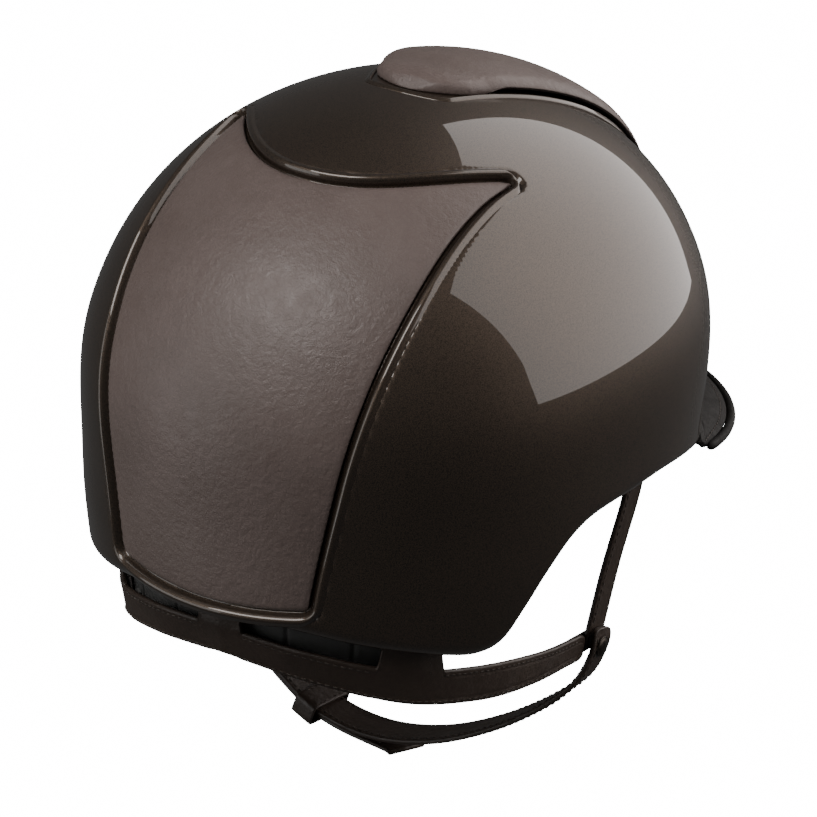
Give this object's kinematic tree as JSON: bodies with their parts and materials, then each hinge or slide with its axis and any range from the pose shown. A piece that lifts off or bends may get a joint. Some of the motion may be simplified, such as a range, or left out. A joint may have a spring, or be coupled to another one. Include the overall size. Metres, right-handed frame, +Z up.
{
  "type": "riding helmet",
  "caption": "Equestrian riding helmet: glossy shell, recessed rear leather panel, raised crown insert, peak, foam and pad liner, leather nape band and buckled chin strap.",
  "frame": {"origin": "inside the head cavity, on the mid-plane, level with the widest part of the shell, where the wearer's head holds the helmet", "axes": "+Z up to the crown, -Y towards the peak (the way the wearer faces), -X to the wearer's right"},
  "size_m": [0.2244, 0.3169, 0.2894],
  "materials": {
    "shell_gloss": "high gloss metallic lacquer",
    "panel_leather": "matte pebbled leather",
    "harness_leather": "smooth stitched leather",
    "foam": "matte moulded foam",
    "liner_fabric": "brushed knit fabric",
    "plastic": "satin moulded plastic",
    "metal": "dark plated metal",
    "rubber": "matte rubber"
  },
  "bodies": {
    "helmet": {"outer_shell": "shell_gloss", "rear_panel_frame": "shell_gloss", "rear_panel": "panel_leather", "crown_insert": "panel_leather", "crown_insert_carrier": "plastic", "foam_liner": "foam", "liner_crown_pad": "liner_fabric", "liner_headband": "liner_fabric", "brow_pad": "liner_fabric", "liner_web_front_left": "liner_fabric", "liner_web_front_right": "liner_fabric", "liner_web_rear_left": "liner_fabric", "liner_web_rear_right": "liner_fabric", "rim_binding": "rubber", "peak": "harness_leather", "peak_edge_trim": "harness_leather", "peak_screw_left": "metal", "peak_screw_right": "metal", "nape_band": "harness_leather", "nape_tab_centre": "harness_leather", "nape_tab_left": "harness_leather", "nape_tab_right": "harness_leather", "side_strap_left": "harness_leather", "side_strap_right": "harness_leather", "strap_junction_left": "harness_leather", "strap_junction_right": "harness_leather", "temple_rivet_left": "metal", "temple_rivet_right": "metal"},
    "short_strap": {"chin_strap_short": "harness_leather", "buckle_socket": "plastic", "junction_rivet_left": "metal", "junction_rivet_right": "metal", "chin_strap_tab_right": "harness_leather"},
    "long_strap": {"chin_strap_long": "harness_leather", "chin_strap_tail": "harness_leather", "buckle_tongue": "plastic"},
    "keeper": {"strap_keeper": "harness_leather"}
  },
  "joints": [
    {"name": "chin_strap_swing", "type": "hinge", "parent": "helmet", "child": "short_strap", "pos_m": [0, -0.027, -0.11], "axis": [1, 0, 0], "range_deg": [-50, 10]},
    {"name": "buckle_open", "type": "hinge", "parent": "short_strap", "child": "long_strap", "pos_m": [-0.08415, -0.02538, -0.11781], "axis": [0, 1, 0], "range_deg": [0, 65]},
    {"name": "keeper_slide", "type": "slide", "parent": "long_strap", "child": "keeper", "axis": [0.9385, -0.1321, 0.3192], "range_m": [-0.004, 0.004]}
  ]
}
